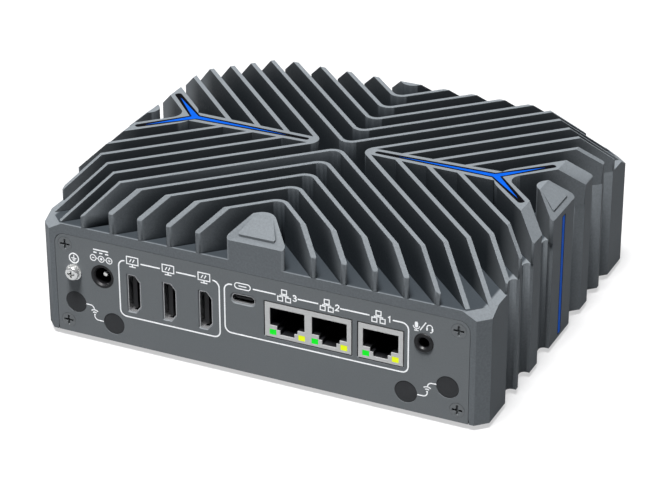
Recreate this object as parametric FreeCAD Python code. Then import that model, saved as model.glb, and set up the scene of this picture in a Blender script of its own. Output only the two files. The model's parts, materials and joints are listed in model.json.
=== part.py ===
import FreeCAD, Part
import math
import os

# A fanless mini pc: a finned housing, two port plates, a bottom cover and the board inside.
# Millimetres. X runs along the port plate, the port plate faces -Y, Z is up.
# The model is drawn with z = 0 at the housing's lower edge; save() then lifts it onto its feet,
# so that the exported origin is the bottom centre, on the surface that the feet rest on.

V = FreeCAD.Vector
ROOT2 = math.sqrt(2.0)

# ---------------------------------------------------------------- driving dimensions: housing
WIDTH = 170.0
DEPTH = 140.0
HEIGHT = 58.0
FOOT_HEIGHT = 2.0
HALF_W = WIDTH / 2
HALF_D = DEPTH / 2
UPRIGHT_CHAMFER = 4.0
TOP_CHAMFER = 7.8
FACET_START = 117.2         # |x| + |y| where a corner facet leaves the flat top
FACET_FALL = 0.5414         # fall of the facet per mm of |x| + |y|
FLOOR_Z = 42.5              # floor of the gaps between the fins
ROOF_Z = 36.5               # ceiling of the cavity
CAVITY_HALF = 76.8

FIN_T = 1.7
FIN_BEND = 4.0              # radius of a fin's bend, on its centreline
NOSE_SHARP = 0.45           # rounding of a fin end's 45 degree corner
NOSE_BLUNT = 1.0            # rounding of its 135 degree corner
PORT_FIN_FIRST = 2.6        # fins that open towards a port plate, measured along the middle
PORT_FIN_PITCH = 11.3
PORT_FINS = 5
SIDE_FIN_FIRST = 8.7        # fins that open towards a side wall
SIDE_FIN_PITCH = 11.7
SIDE_FINS = 4
ARM_OFFSET = 59.15          # the two wide arms of the Y, and the junction of the Y
ARM_T = 6.0
SPINE_TIP = 10.5
SPINE_TIP_HALF = 2.6
SPINE_END = 60.0
SPINE_END_HALF = 3.9
TAB_HALF = 12.1             # half width of the wedge in the middle of each edge
TAB_BEND = 4.5
TAB_CORNER = 0.9
PAD_INSET = 1.4             # raised pad on the wedge's slope, from the wedge's outer face
PAD_OUTER_HALF = 7.2
PAD_INNER_HALF = 3.2
PAD_RISE = 0.9              # height of the pad above the slope, at its outer end
PAD_MEETS = 0.7             # the pad runs out into the slope this far below the flat top

SIDE_GROOVE_DEPTH = 3.0
SIDE_GROOVES = [(51.7, 41.8), (39.95, 29.0), (21.7, 10.1)]   # outer and inner edge of each
SIDE_FILLET_OUT = 1.0
SIDE_FILLET_IN = 1.9

INLAY_DEPTH = 1.8
INLAY_BELOW = 0.1           # the black fillings stay this far below the face around them
BLUE_BELOW = 0.04           # and the blue strips this far
BLUE_SET_IN = 0.5           # depth of the blue strips in the black fillings
INLAY_TIP = 13.2
INLAY_TIP_HALF = 0.95
INLAY_TIP_RADIUS = 0.8
INLAY_END_HALF = 1.95
INLAY_ARM_RADIUS = 1.0
INLAY_ARM_HALF = 1.9
INLAY_ARM_END_HALF = 1.25
INLAY_ARM_REACH = 23.0      # from the junction, along an arm
BLUE_TIP = 22.5
BLUE_SPINE_HALF = 1.05
BLUE_ARM_REACH = 19.0
BLUE_ARM_HALF = 1.25
BLUE_OVERLAP = 0.4          # the blue arms start this far behind the junction
STRIP_Z = (1.0, 48.0)       # upright strip on each side wall
STRIP_GROOVE_HALF = 1.7
STRIP_DEPTH = 1.0
STRIP_BLUE_HALF = 1.0
SLIP = 0.05                 # clearance of a part that is set into another

# ---------------------------------------------------------------- driving dimensions: plates and screws
PLATE_T = 2.0
PLATE_HALF = 78.8
PLATE_TOP = 38.6
PLATE_CORNER = 4.0
PLATE_GAP = 0.15
COVER_T = 1.5
COVER_HALF_W = 79.0
PLATE_SCREW_X = 74.8
PLATE_SCREW_Z = (4.5, 34.7)
PLATE_BOSS_R = 3.5
PLATE_BOSS_LENGTH = 12.0
PLATE_TAP_DEPTH = 10.0
COVER_SCREW_X = 73.3
COVER_SCREW_Y = (-45.0, 0.0, 45.0)
COVER_BOSS_R = 3.5
COVER_TAP_DEPTH = 10.0
M3_R = 1.45
M3_TAPPED_R = 1.5
M3_CLEAR_R = 1.65
M3_HEAD_R = 2.7
M3_HEAD_H = 1.3
VESA_HALF = 37.5
M4_MINOR_R = 1.65
INSERT_R = 2.6
INSERT_FLANGE_R = 3.6
INSERT_TOP = 6.0
FOOT_X = 64.0
FOOT_Y = 56.0
FOOT_R = 6.0

# ---------------------------------------------------------------- driving dimensions: board and ports
BOARD_Z = (31.0, 32.6)
BOARD_HALF_W = 69.5
BOARD_HALF_D = 66.5
BOARD_SCREWS = [(x, y) for x in (-64.5, 64.5) for y in (-46.0, 0.0, 46.0)]
PILLAR_R = 3.0
FRONT = -HALF_D             # plane of the front port plate's face
REAR = HALF_D

CROSS_ARM_HALF = 0.42       # driver recess of a flat screw
CROSS_REACH = 1.9
CROSS_DEPTH = 1.0

GROUND_SCREW = (-71.5, 24.5)
GROUND_WASHER_R = 3.0
GROUND_WASHER_T = 0.5
GROUND_HEAD_R = 2.6
GROUND_HEAD_H = 2.0
DC_JACK = (-60.1, 25.0)
DC_JACK_R = 4.5
DC_BORE_R = 3.15
DC_BORE_DEPTH = 10.0
DC_PIN_R = 1.05
ANTENNA_HOLES = [(-71.3, 12.5), (-56.2, 7.05), (56.1, 7.1), (71.2, 12.5)]
ANTENNA_R = 4.1
HDMI_X = (-47.65, -33.55, -19.45)
HDMI_Z = 20.8
HDMI_DEPTH = 12.0
PORT_SET_BACK = 0.4         # a shell's mouth behind the plate's face
SHELL_T = 0.3
USB_C = (-4.8, 28.4)
LAN_Z = (16.5, 29.7)
DUAL_LAN_X = (3.5, 35.9)
SINGLE_LAN_X = (38.5, 54.9)
LAN_PORT_X = (11.93, 27.73, 46.7)
LAN_DEPTH = 21.0
LAN_SHEET = 0.35
LAN_GAP = 0.45              # round a jack, in the plate
LAN_MOUTH_DEPTH = 13.0
LAN_CONTACTS = 8
LAN_CONTACT_PITCH = 1.02
LAN_CONTACT_FROM = 5.0
LAN_LIGHT_X = (4.15, 6.7)   # corner windows of a port, from its middle
LAN_LIGHT_Z = (17.4, 19.5)
AUDIO_JACK = (62.4, 27.4)
AUDIO_RING_R = 3.5
AUDIO_BORE_R = 1.8

POWER_BUTTON = (60.0, 20.5)
POWER_TRAVEL = 1.2
POWER_CAP_R = 6.0
POWER_PROUD = 2.5
POWER_RING_R = 8.6
POWER_BARREL_R = 7.5
POWER_STEM_R = 2.0
STATUS_LED_X = (45.5, 49.5)
STATUS_LED_Z = 20.5
STATUS_LED_R = 1.2
USB_A_X = (30.0, 10.0, -10.0)
USB_A_SIZE = (13.2, 15.4)
USB_A_Z = 22.9
USB_A_DEPTH = 17.5
USB_A_MOUTH_DEPTH = 12.5
USB_A_STEP = 3.9            # each mouth above or below the middle of the stack

# ---------------------------------------------------------------- driving dimensions: parts on the board
COIL_X = [-38.0 + 13.0 * i for i in range(6)]
COIL_SIZE = 7.0
COIL_Y = 36.0
COIL_HEIGHT = 3.0
CAPACITOR_Y = [-20.0 + 12.0 * i for i in range(5)]
CAPACITOR_X = -44.0
CAPACITOR_R = 2.6
CAPACITOR_HEIGHT = 3.4
PACKAGE_X = (-20.0, 20.0)
PACKAGE_Y = (-14.0, 24.0)
DIE_X = (-14.0, 14.0)
DIE_Y = (-8.0, 18.0)
DIE_STEP = 1.0
PAD_T = 0.4
SPREADER_MARGIN = 2.0
CARD_T = 0.8                # drive and radio cards, hanging under the board
CARD_BELOW = 2.55
CHIP_T = 1.25
DRIVE_X = (-58.8, -37.2)
DRIVE_Y = (-38.9, 40.9)
DRIVE_CHIP_Y = (-30.0, -8.0, 14.0)
RADIO_X = (38.2, 59.8)
RADIO_Y = (-14.9, 14.9)
CARD_SCREWS = [(-48.0, -37.5), (49.0, -13.5)]
CARD_SOCKETS = [(-48.0, 44.0), (49.0, 18.0)]
MEMORY_X = (-33.8, 33.8)
MEMORY_Y = (-16.0, 14.9)
MEMORY_CHIP_X = (-29.0, -13.0, 3.0, 19.0)
COIN_CELL = (49.0, 36.0)
COIN_CELL_R = 10.0


# ---------------------------------------------------------------- helpers
def outline(corners, place):
    """Closed wire through corners (a, b) or (a, b, radius), put in space by place(a, b)."""
    flat = [FreeCAD.Vector(c[0], c[1], 0) for c in corners]
    radii = [c[2] if len(c) > 2 else 0.0 for c in corners]
    starts, ends, arcs = [], [], []
    for i, point in enumerate(flat):
        to_last = (flat[i - 1] - point).normalize()
        to_next = (flat[(i + 1) % len(flat)] - point).normalize()
        if radii[i] == 0.0:
            starts.append(point)
            ends.append(point)
            arcs.append(None)
            continue
        half_angle = to_last.getAngle(to_next) / 2
        reach = radii[i] / math.tan(half_angle)
        middle = (to_last + to_next).normalize()
        deep = radii[i] / math.sin(half_angle) - radii[i]
        starts.append(point + to_last * reach)
        ends.append(point + to_next * reach)
        arcs.append(point + middle * deep)
    edges = []
    for i, point in enumerate(flat):
        if arcs[i] is not None:
            a, m, b = [place(p.x, p.y) for p in (starts[i], arcs[i], ends[i])]
            edges.append(Part.Arc(a, m, b).toShape())
        following = starts[(i + 1) % len(flat)]
        if (following - ends[i]).Length > 1e-6:
            a, b = place(ends[i].x, ends[i].y), place(following.x, following.y)
            edges.append(Part.LineSegment(a, b).toShape())
    return Part.Wire(edges)


def prism(corners, axis, start, end):
    """Solid between start and end along an axis; corners are in the other two axes, in order."""
    places = {
        "x": lambda a, b: V(start, a, b),
        "y": lambda a, b: V(a, start, b),
        "z": lambda a, b: V(a, b, start),
    }
    sweep = {"x": V(end - start, 0, 0), "y": V(0, end - start, 0), "z": V(0, 0, end - start)}
    return Part.Face(outline(corners, places[axis])).extrude(sweep[axis])


def block(x, y, z):
    """Box from three (low, high) pairs."""
    return Part.makeBox(x[1] - x[0], y[1] - y[0], z[1] - z[0], V(x[0], y[0], z[0]))


def rod(axis, centre, radius, start, end):
    """Cylinder along an axis; centre is in the other two axes, in order."""
    base = {"x": V(start, *centre), "y": V(centre[0], start, centre[1]), "z": V(*centre, start)}
    along = {"x": V(1, 0, 0), "y": V(0, 1, 0), "z": V(0, 0, 1)}
    return Part.makeCylinder(radius, end - start, base[axis], along[axis])


def cone(axis, centre, radius_start, radius_end, start, end):
    """Cone along an axis, from radius_start at start to radius_end at end."""
    low, high = min(start, end), max(start, end)
    radii = (radius_start, radius_end) if start < end else (radius_end, radius_start)
    base = {"y": V(centre[0], low, centre[1]), "z": V(*centre, low)}
    along = {"y": V(0, 1, 0), "z": V(0, 0, 1)}
    return Part.makeCone(radii[0], radii[1], high - low, base[axis], along[axis])


def rectangle(x, z, radius=0.0):
    """Corners of a rectangle from two (low, high) pairs."""
    return [(x[0], z[0], radius), (x[1], z[0], radius), (x[1], z[1], radius), (x[0], z[1], radius)]


def rounded_end(shape, y, radius):
    """The shape with its round edges at y filleted."""
    edges = [e for e in shape.Edges if e.Closed and abs(e.CenterOfMass.y - y) < 1e-6]
    return shape.makeFillet(radius, edges)


def turned(shape, quarter_turns):
    """The shape turned about the vertical axis."""
    copy = shape.copy()
    copy.rotate(V(0, 0, 0), V(0, 0, 1), 90.0 * quarter_turns)
    return copy


def tapered_hole(outer, inner, y_face, y_deep):
    """Solid between an outline at the face and a smaller one behind it, both in X and Z."""
    wires = [outline(outer, lambda a, b: V(a, y_face, b)), outline(inner, lambda a, b: V(a, y_deep, b))]
    return Part.makeLoft(wires, True, True)


def save(name, *solids):
    """Write one node, lifted onto the feet."""
    shape = solids[0] if len(solids) == 1 else Part.makeCompound(list(solids))
    shape = shape.copy()
    shape.translate(V(0, 0, FOOT_HEIGHT))
    shape.exportStep("parts/" + name + ".step")
    print(name, len(shape.Solids), "solids", round(shape.Volume, 1), "mm3", shape.isValid())


# ---------------------------------------------------------------- housing
def envelope():
    """The outer form: upright corners, four top chamfers and four sloping corner facets."""
    c = UPRIGHT_CHAMFER
    plan = [
        (-HALF_W + c, -HALF_D), (HALF_W - c, -HALF_D), (HALF_W, -HALF_D + c), (HALF_W, HALF_D - c),
        (HALF_W - c, HALF_D), (-HALF_W + c, HALF_D), (-HALF_W, HALF_D - c), (-HALF_W, -HALF_D + c),
    ]
    form = prism(plan, "z", 0, HEIGHT)
    for axis, half, length in (("x", HALF_D, HALF_W), ("y", HALF_W, HALF_D)):
        top = half - TOP_CHAMFER
        profile = [(-half, -1), (half, -1), (half, HEIGHT - TOP_CHAMFER), (top, HEIGHT),
                   (-top, HEIGHT), (-half, HEIGHT - TOP_CHAMFER)]
        form = form.common(prism(profile, axis, -length - 1, length + 1))
    start = FACET_START / ROOT2
    reach = start + 30.0
    low = HEIGHT - 30.0 * FACET_FALL * ROOT2
    profile = [(-reach, -1), (reach, -1), (reach, low), (start, HEIGHT), (-start, HEIGHT), (-reach, low)]
    for angle in (45, -45):
        slab = prism(profile, "y", -reach, reach)
        slab.rotate(V(0, 0, 0), V(0, 0, 1), angle)
        form = form.common(slab)
    return form, plan


def chevron(offset, thickness, end, bend, nose_sharp, nose_blunt):
    """A bent rib along |x| + offset, on the gap floor, opening towards -Y and cut off at y = -end."""
    rise = thickness / ROOT2
    near, far = end - offset - rise, end - offset + rise
    corners = [
        (-far, -end, nose_sharp), (-near, -end, nose_blunt), (0, -offset - rise, bend - thickness / 2),
        (near, -end, nose_blunt), (far, -end, nose_sharp), (0, -offset + rise, bend + thickness / 2),
    ]
    return prism(corners, "z", FLOOR_Z, HEIGHT)


def wedge(end):
    """The filled wedge in the middle of an edge, pointing inwards, rooted in the base."""
    corners = [(-TAB_HALF, -end, TAB_CORNER), (TAB_HALF, -end, TAB_CORNER), (0, -end + TAB_HALF, TAB_BEND)]
    return prism(corners, "z", FLOOR_Z - 1.0, HEIGHT)


def wedge_pad(end):
    """Raised pad on the wedge's slope: proud at its outer end, running out near the flat top."""
    outer, inner = -end + PAD_INSET, -end + TOP_CHAMFER
    plan = [(-PAD_OUTER_HALF, outer, 0.5), (PAD_OUTER_HALF, outer, 0.5),
            (PAD_INNER_HALF, inner, 0.3), (-PAD_INNER_HALF, inner, 0.3)]
    slope = HEIGHT - TOP_CHAMFER + PAD_INSET
    grade = (HEIGHT - PAD_MEETS - slope - PAD_RISE) / (inner - PAD_MEETS - outer)
    profile = [(outer, slope - 1.0), (outer, slope + PAD_RISE),
               (inner, slope + PAD_RISE + grade * (inner - outer)), (inner, HEIGHT - 1.0)]
    pad = prism(plan, "z", slope - 1.0, HEIGHT)
    return pad.common(prism(profile, "x", -TAB_HALF, TAB_HALF))


def spine():
    """The tapered rib that carries the long leg of the Y, towards -Y."""
    corners = [(-SPINE_TIP_HALF, -SPINE_TIP), (-SPINE_END_HALF, -SPINE_END),
               (SPINE_END_HALF, -SPINE_END), (SPINE_TIP_HALF, -SPINE_TIP)]
    return prism(corners, "z", FLOOR_Z, HEIGHT)


def star_leg(angle, reach, root_half, tip_half, tip_radius, z_low, z_high, start=0.0):
    """One tapered leg of the Y, from its junction along a direction in plan."""
    if tip_half > 0:
        corners = [(start, -root_half), (reach, -tip_half, tip_radius), (reach, tip_half, tip_radius),
                   (start, root_half)]
    else:
        corners = [(start, -root_half), (reach, 0), (start, root_half)]
    leg = prism(corners, "z", z_low, z_high)
    leg.rotate(V(0, 0, 0), V(0, 0, 1), angle)
    leg.translate(V(0, -ARM_OFFSET, 0))
    return leg


def inlay_outline(z_low, z_high, slack):
    """The black channel of the Y, narrowed by slack all round."""
    legs = [star_leg(90, ARM_OFFSET - INLAY_TIP - slack, INLAY_END_HALF - slack, INLAY_TIP_HALF - slack,
                     INLAY_TIP_RADIUS - slack, z_low, z_high)]
    for angle in (-45, -135):
        legs.append(star_leg(angle, INLAY_ARM_REACH - slack, INLAY_ARM_HALF - slack,
                             INLAY_ARM_END_HALF - slack, INLAY_ARM_RADIUS - slack, z_low, z_high))
    return legs[0].fuse(legs[1:]).removeSplitter()


def blue_star(z_low, z_high):
    """The pointed blue Y that stands in the black channel."""
    legs = [star_leg(90, ARM_OFFSET - BLUE_TIP, BLUE_SPINE_HALF, 0, 0, z_low, z_high)]
    for angle in (-45, -135):
        legs.append(star_leg(angle, BLUE_ARM_REACH, BLUE_ARM_HALF, 0, 0, z_low, z_high, -BLUE_OVERLAP))
    return legs[0].fuse(legs[1:]).removeSplitter()


def side_groove(outer, inner):
    """One upright groove of a side wall; its outer wall follows the fins, its inner wall is square."""
    floor = HALF_W - SIDE_GROOVE_DEPTH
    corners = [
        (HALF_W + 2, -(outer + 2)), (floor, -(outer - SIDE_GROOVE_DEPTH), SIDE_FILLET_OUT),
        (floor, -inner, SIDE_FILLET_IN), (HALF_W + 2, -inner),
    ]
    return prism(corners, "z", -1, FLOOR_Z + 0.001)


def plate_outline(gap, bottom):
    """Port plate outline, grown by gap, down to bottom."""
    half, top = PLATE_HALF + gap, PLATE_TOP + gap
    return [(-half, bottom), (half, bottom), (half, top, PLATE_CORNER), (-half, top, PLATE_CORNER)]


def boss(axis, x, across, radius, start, end, z_span):
    """Screw boss joined to the nearer side wall; across is its centre in the third axis."""
    wall = CAVITY_HALF + 1 if x > 0 else -CAVITY_HALF - 1
    post = rod(axis, (x, across), radius, start, end)
    side = (across - radius, across + radius)
    spans = {"y": ((start, end), side), "z": (side, (start, end))}
    web = block(sorted((x, wall)), *spans[axis])
    keep = block((-HALF_W, HALF_W), (-HALF_D, HALF_D), z_span)
    return post.fuse(web).common(keep)


def housing_base(form, plan):
    """Roof of the cavity, side walls with their upright grooves, and the four edge wedges."""
    base = prism(plan, "z", 0, FLOOR_Z)
    for outer, inner in SIDE_GROOVES:
        groove = side_groove(outer, inner)
        mirrored = groove.mirror(V(0, 0, 0), V(0, 1, 0))
        for tool in (groove, mirrored):
            base = base.cut(tool).cut(tool.mirror(V(0, 0, 0), V(1, 0, 0)))
    edges = ((0, HALF_D), (1, HALF_W), (2, HALF_D), (3, HALF_W))
    base = base.fuse([turned(wedge(end), turn) for turn, end in edges]).common(form)
    return base.fuse([turned(wedge_pad(end), turn) for turn, end in edges])


def housing_cuts():
    """Cavity, plate openings, cover rebate and the grooves of the side strips."""
    cuts = [block((-CAVITY_HALF, CAVITY_HALF), (-HALF_D - 1, HALF_D + 1), (-1, ROOF_Z))]
    opening = plate_outline(PLATE_GAP, -1)
    cuts.append(prism(opening, "y", -HALF_D - 1, -HALF_D + PLATE_T))
    cuts.append(prism(opening, "y", HALF_D - PLATE_T, HALF_D + 1))
    rim = COVER_HALF_W + PLATE_GAP
    cuts.append(block((-rim, rim), (-HALF_D, HALF_D), (-1, COVER_T)))
    strip = prism(rectangle((-STRIP_GROOVE_HALF, STRIP_GROOVE_HALF), STRIP_Z, 0.4),
                  "y", -HALF_W - 1, -HALF_W + STRIP_DEPTH)
    return cuts + [turned(strip, turn) for turn in (1, 3)]


def heatsink_housing(form, plan):
    body = housing_base(form, plan).cut(housing_cuts())
    bosses, holes = [], []
    above_cover = (COVER_T, ROOF_Z + 1)
    for x in (-PLATE_SCREW_X, PLATE_SCREW_X):
        for z in PLATE_SCREW_Z:
            for sign in (-1, 1):
                back = sign * (HALF_D - PLATE_T)
                start, end = sorted((back, back - sign * PLATE_BOSS_LENGTH))
                bosses.append(boss("y", x, z, PLATE_BOSS_R, start, end, above_cover))
                start, end = sorted((sign * HALF_D, back - sign * PLATE_TAP_DEPTH))
                holes.append(rod("y", (x, z), M3_TAPPED_R, start, end))
    for x in (-COVER_SCREW_X, COVER_SCREW_X):
        for y in COVER_SCREW_Y:
            bosses.append(boss("z", x, y, COVER_BOSS_R, *above_cover, above_cover))
            holes.append(rod("z", (x, y), M3_TAPPED_R, 0, COVER_T + COVER_TAP_DEPTH))
    for x, y in BOARD_SCREWS:
        bosses.append(rod("z", (x, y), PILLAR_R, BOARD_Z[1], ROOF_Z + 1))
        holes.append(rod("z", (x, y), M3_TAPPED_R, BOARD_Z[1] - 1, ROOF_Z + 3))
    save("heatsink_housing", body.fuse(bosses).cut(holes).removeSplitter())


def fins(form):
    """Bent fins that open towards the port plates, and the Y-shaped rib with its fins at each side."""
    port_fins = []
    for turn in (0, 2):
        for k in range(PORT_FINS):
            offset = PORT_FIN_FIRST + k * PORT_FIN_PITCH
            fin = chevron(offset, FIN_T, HALF_D, FIN_BEND, NOSE_SHARP, NOSE_BLUNT)
            port_fins.append(turned(fin, turn).common(form))
    save("port_fins", *port_fins)
    for name, turn in (("right", 1), ("left", 3)):
        arms = chevron(ARM_OFFSET, ARM_T, HALF_W, 2 * FIN_BEND, 0.55, 0.8)
        ribs = [spine()]
        for j in range(SIDE_FINS):
            offset = SIDE_FIN_FIRST + j * SIDE_FIN_PITCH
            ribs.append(chevron(offset, FIN_T, HALF_W, FIN_BEND, NOSE_SHARP, NOSE_BLUNT))
        frame = arms.fuse(ribs).cut(inlay_outline(HEIGHT - INLAY_DEPTH, HEIGHT + 1, 0.0))
        save("side_fins_" + name, turned(frame, turn).common(form).removeSplitter())


def accent_inlays():
    """Black channels and blue strips: the Y on each half of the top, the line on each side wall."""
    top = HEIGHT - INLAY_BELOW
    star = blue_star(top - BLUE_SET_IN, HEIGHT - BLUE_BELOW)
    filling = inlay_outline(HEIGHT - INLAY_DEPTH, top, SLIP).cut(star)
    z_low, z_high = STRIP_Z
    face = -HALF_W + INLAY_BELOW
    blue = rectangle((-STRIP_BLUE_HALF, STRIP_BLUE_HALF), (z_low + 0.4, z_high - 0.4), 0.3)
    strip = prism(blue, "y", -HALF_W + BLUE_BELOW, face + BLUE_SET_IN)
    half = STRIP_GROOVE_HALF - SLIP
    base = prism(rectangle((-half, half), (z_low + SLIP, z_high - SLIP), 0.35), "y", face,
                 -HALF_W + STRIP_DEPTH).cut(strip)
    bases, strips = [], []
    for name, turn in (("right", 1), ("left", 3)):
        save("top_inlay_base_" + name, turned(filling, turn))
        save("top_inlay_blue_" + name, turned(star, turn))
        bases.append(turned(base, turn))
        strips.append(turned(strip, turn))
    save("side_strip_bases", *bases)
    save("side_strips_blue", *strips)


# ---------------------------------------------------------------- plates, cover, feet and screws
def hdmi_outline(x, z, grow):
    """A vertical HDMI opening: flat towards -X, chamfered towards +X."""
    half_w, half_h, cut = 2.25 + grow, 7.0 + grow, 1.9 + 0.4 * grow
    left, right, low, high = x - half_w, x + half_w, z - half_h, z + half_h
    return [(left, low, 0.4), (right - cut, low, 0.4), (right, low + cut + 0.4, 0.6),
            (right, high - cut - 0.4, 0.6), (right - cut, high, 0.4), (left, high, 0.4)]


def slot_outline(x, z, half_w, half_h):
    """A flat slot with fully rounded ends."""
    return rectangle((x - half_w, x + half_w), (z - half_h, z + half_h), half_h - 0.01)


def plate_screw_tools(face, inward):
    """Countersunk clearance holes at the four corners of a port plate."""
    tools = []
    for x in (-PLATE_SCREW_X, PLATE_SCREW_X):
        for z in PLATE_SCREW_Z:
            deep = face + inward * (M3_HEAD_H + 0.1)
            tools.append(cone("y", (x, z), M3_HEAD_R + 0.1, M3_CLEAR_R, face, deep))
            low, high = sorted((face, face + inward * PLATE_T))
            tools.append(rod("y", (x, z), M3_CLEAR_R, low, high))
    return tools


def front_port_plate():
    face, back = FRONT, FRONT + PLATE_T
    plate = prism(plate_outline(0.0, 0.0), "y", face, back)
    tools = plate_screw_tools(face, 1)
    tools.append(rod("y", GROUND_SCREW, 1.7, face, back))
    tools.append(rod("y", DC_JACK, DC_JACK_R + SLIP, face, back))
    tools.append(rod("y", AUDIO_JACK, AUDIO_RING_R + SLIP, face, back))
    for centre in ANTENNA_HOLES:
        tools.append(rod("y", centre, ANTENNA_R + SLIP, face, back))
    for x in HDMI_X:
        hole = hdmi_outline(x, HDMI_Z, 0.35)
        tools.append(tapered_hole(hdmi_outline(x, HDMI_Z, 0.55), hole, face, face + 0.5))
        tools.append(prism(hole, "y", face + 0.4, back))
    hole = slot_outline(*USB_C, 4.6, 1.75)
    tools.append(tapered_hole(slot_outline(*USB_C, 4.95, 2.15), hole, face, face + 0.5))
    tools.append(prism(hole, "y", face + 0.4, back))
    for x in (DUAL_LAN_X, SINGLE_LAN_X):
        hole = rectangle((x[0] - LAN_GAP, x[1] + LAN_GAP), (LAN_Z[0] - LAN_GAP, LAN_Z[1] + LAN_GAP), LAN_GAP)
        tools.append(prism(hole, "y", face, back))
    save("front_port_plate", plate.cut(tools))


def rear_port_plate():
    face, back = REAR, REAR - PLATE_T
    plate = prism(plate_outline(0.0, 0.0), "y", back, face)
    tools = plate_screw_tools(face, -1)
    tools.append(rod("y", POWER_BUTTON, POWER_BARREL_R + 0.1, back, face))
    for x in STATUS_LED_X:
        tools.append(rod("y", (x, STATUS_LED_Z), STATUS_LED_R + SLIP, back, face))
    for x in USB_A_X:
        half_w, half_h = USB_A_SIZE[0] / 2 + 0.3, USB_A_SIZE[1] / 2 + 0.3
        hole = rectangle((x - half_w, x + half_w), (USB_A_Z - half_h, USB_A_Z + half_h), 0.3)
        tools.append(prism(hole, "y", back, face))
    save("rear_port_plate", plate.cut(tools))


def bottom_cover():
    inner = HALF_D - PLATE_T - PLATE_GAP
    cover = prism(rectangle((-COVER_HALF_W, COVER_HALF_W), (-inner, inner), 1.0), "z", 0, COVER_T)
    tools = []
    for x in (-COVER_SCREW_X, COVER_SCREW_X):
        for y in COVER_SCREW_Y:
            tools.append(rod("z", (x, y), M3_CLEAR_R, 0, COVER_T))
            tools.append(cone("z", (x, y), M3_HEAD_R + 0.1, M3_CLEAR_R, 0, M3_HEAD_H))
    inserts = []
    for x in (-VESA_HALF, VESA_HALF):
        for y in (-VESA_HALF, VESA_HALF):
            barrel = rod("z", (x, y), INSERT_R, 0, COVER_T)
            tools.append(barrel)
            insert = barrel.fuse(rod("z", (x, y), INSERT_FLANGE_R, COVER_T, INSERT_TOP))
            inserts.append(insert.cut(rod("z", (x, y), M4_MINOR_R, 0, INSERT_TOP)))
    save("bottom_cover", cover.cut(tools))
    save("vesa_inserts", *inserts)


def rubber_feet():
    feet = []
    for x in (-FOOT_X, FOOT_X):
        for y in (-FOOT_Y, FOOT_Y):
            foot = rod("z", (x, y), FOOT_R, -FOOT_HEIGHT, 0)
            rim = [e for e in foot.Edges if e.Closed and abs(e.CenterOfMass.z + FOOT_HEIGHT) < 1e-6]
            feet.append(foot.makeFillet(0.6, rim))
    save("rubber_feet", *feet)


def cross_recess(radius, depth):
    """Cutter for a cross-shaped driver recess, at the origin, going down from z = 0."""
    arm = block((-radius, radius), (-CROSS_ARM_HALF, CROSS_ARM_HALF), (-depth, 0.2))
    other = arm.copy()
    other.rotate(V(0, 0, 0), V(0, 0, 1), 90)
    heart = Part.makeCone(0.2, 0.8, depth, V(0, 0, -depth), V(0, 0, 1))
    return arm.fuse([other, heart])


def flat_screw(length, head_r=M3_HEAD_R, head_h=M3_HEAD_H, shank_r=M3_R):
    """Countersunk screw at the origin, face up, shank down."""
    head = Part.makeCone(shank_r, head_r, head_h, V(0, 0, -head_h), V(0, 0, 1))
    shank = Part.makeCylinder(shank_r, length - head_h + 0.1, V(0, 0, -length), V(0, 0, 1))
    return head.fuse(shank).cut(cross_recess(CROSS_REACH, CROSS_DEPTH)).removeSplitter()


def pan_screw(length, head_r, head_h, shank_r):
    """Pan head screw at the origin, its shank down and its head standing on z = 0."""
    head = Part.makeCylinder(head_r, head_h, V(0, 0, 0), V(0, 0, 1))
    rim = [e for e in head.Edges if e.Closed and abs(e.CenterOfMass.z - head_h) < 1e-6]
    head = head.makeFillet(head_h * 0.45, rim)
    shank = Part.makeCylinder(shank_r, length, V(0, 0, -length), V(0, 0, 1))
    recess = cross_recess(head_r * 0.55, head_h * 0.6)
    recess.translate(V(0, 0, head_h))
    return head.fuse(shank).cut(recess).removeSplitter()


def aimed(shape, direction, position):
    """A screw turned so that its head faces direction, and moved to position."""
    copy = shape.copy()
    turns = {"-y": (V(1, 0, 0), 90), "+y": (V(1, 0, 0), -90), "-z": (V(1, 0, 0), 180), "+z": (V(1, 0, 0), 0)}
    copy.rotate(V(0, 0, 0), *turns[direction])
    copy.translate(position)
    return copy


def screws():
    long_screw = flat_screw(9.0)
    for name, direction, face in (("front_plate_screws", "-y", FRONT), ("rear_plate_screws", "+y", REAR)):
        group = [aimed(long_screw, direction, V(x, face, z))
                 for x in (-PLATE_SCREW_X, PLATE_SCREW_X) for z in PLATE_SCREW_Z]
        save(name, *group)
    group = [aimed(flat_screw(8.0), "-z", V(x, y, 0))
             for x in (-COVER_SCREW_X, COVER_SCREW_X) for y in COVER_SCREW_Y]
    save("cover_screws", *group)
    board_screw = pan_screw(5.0, 2.75, 1.8, M3_R)
    save("board_screws", *[aimed(board_screw, "-z", V(x, y, BOARD_Z[0])) for x, y in BOARD_SCREWS])
    x, z = GROUND_SCREW
    seat = FRONT - GROUND_WASHER_T
    washer = rod("y", (x, z), GROUND_WASHER_R, seat, FRONT)
    save("ground_washer", washer.cut(rod("y", (x, z), 1.6, seat, FRONT)))
    save("ground_screw", aimed(pan_screw(6.0, GROUND_HEAD_R, GROUND_HEAD_H, M3_R), "-y", V(x, seat, z)))


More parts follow.
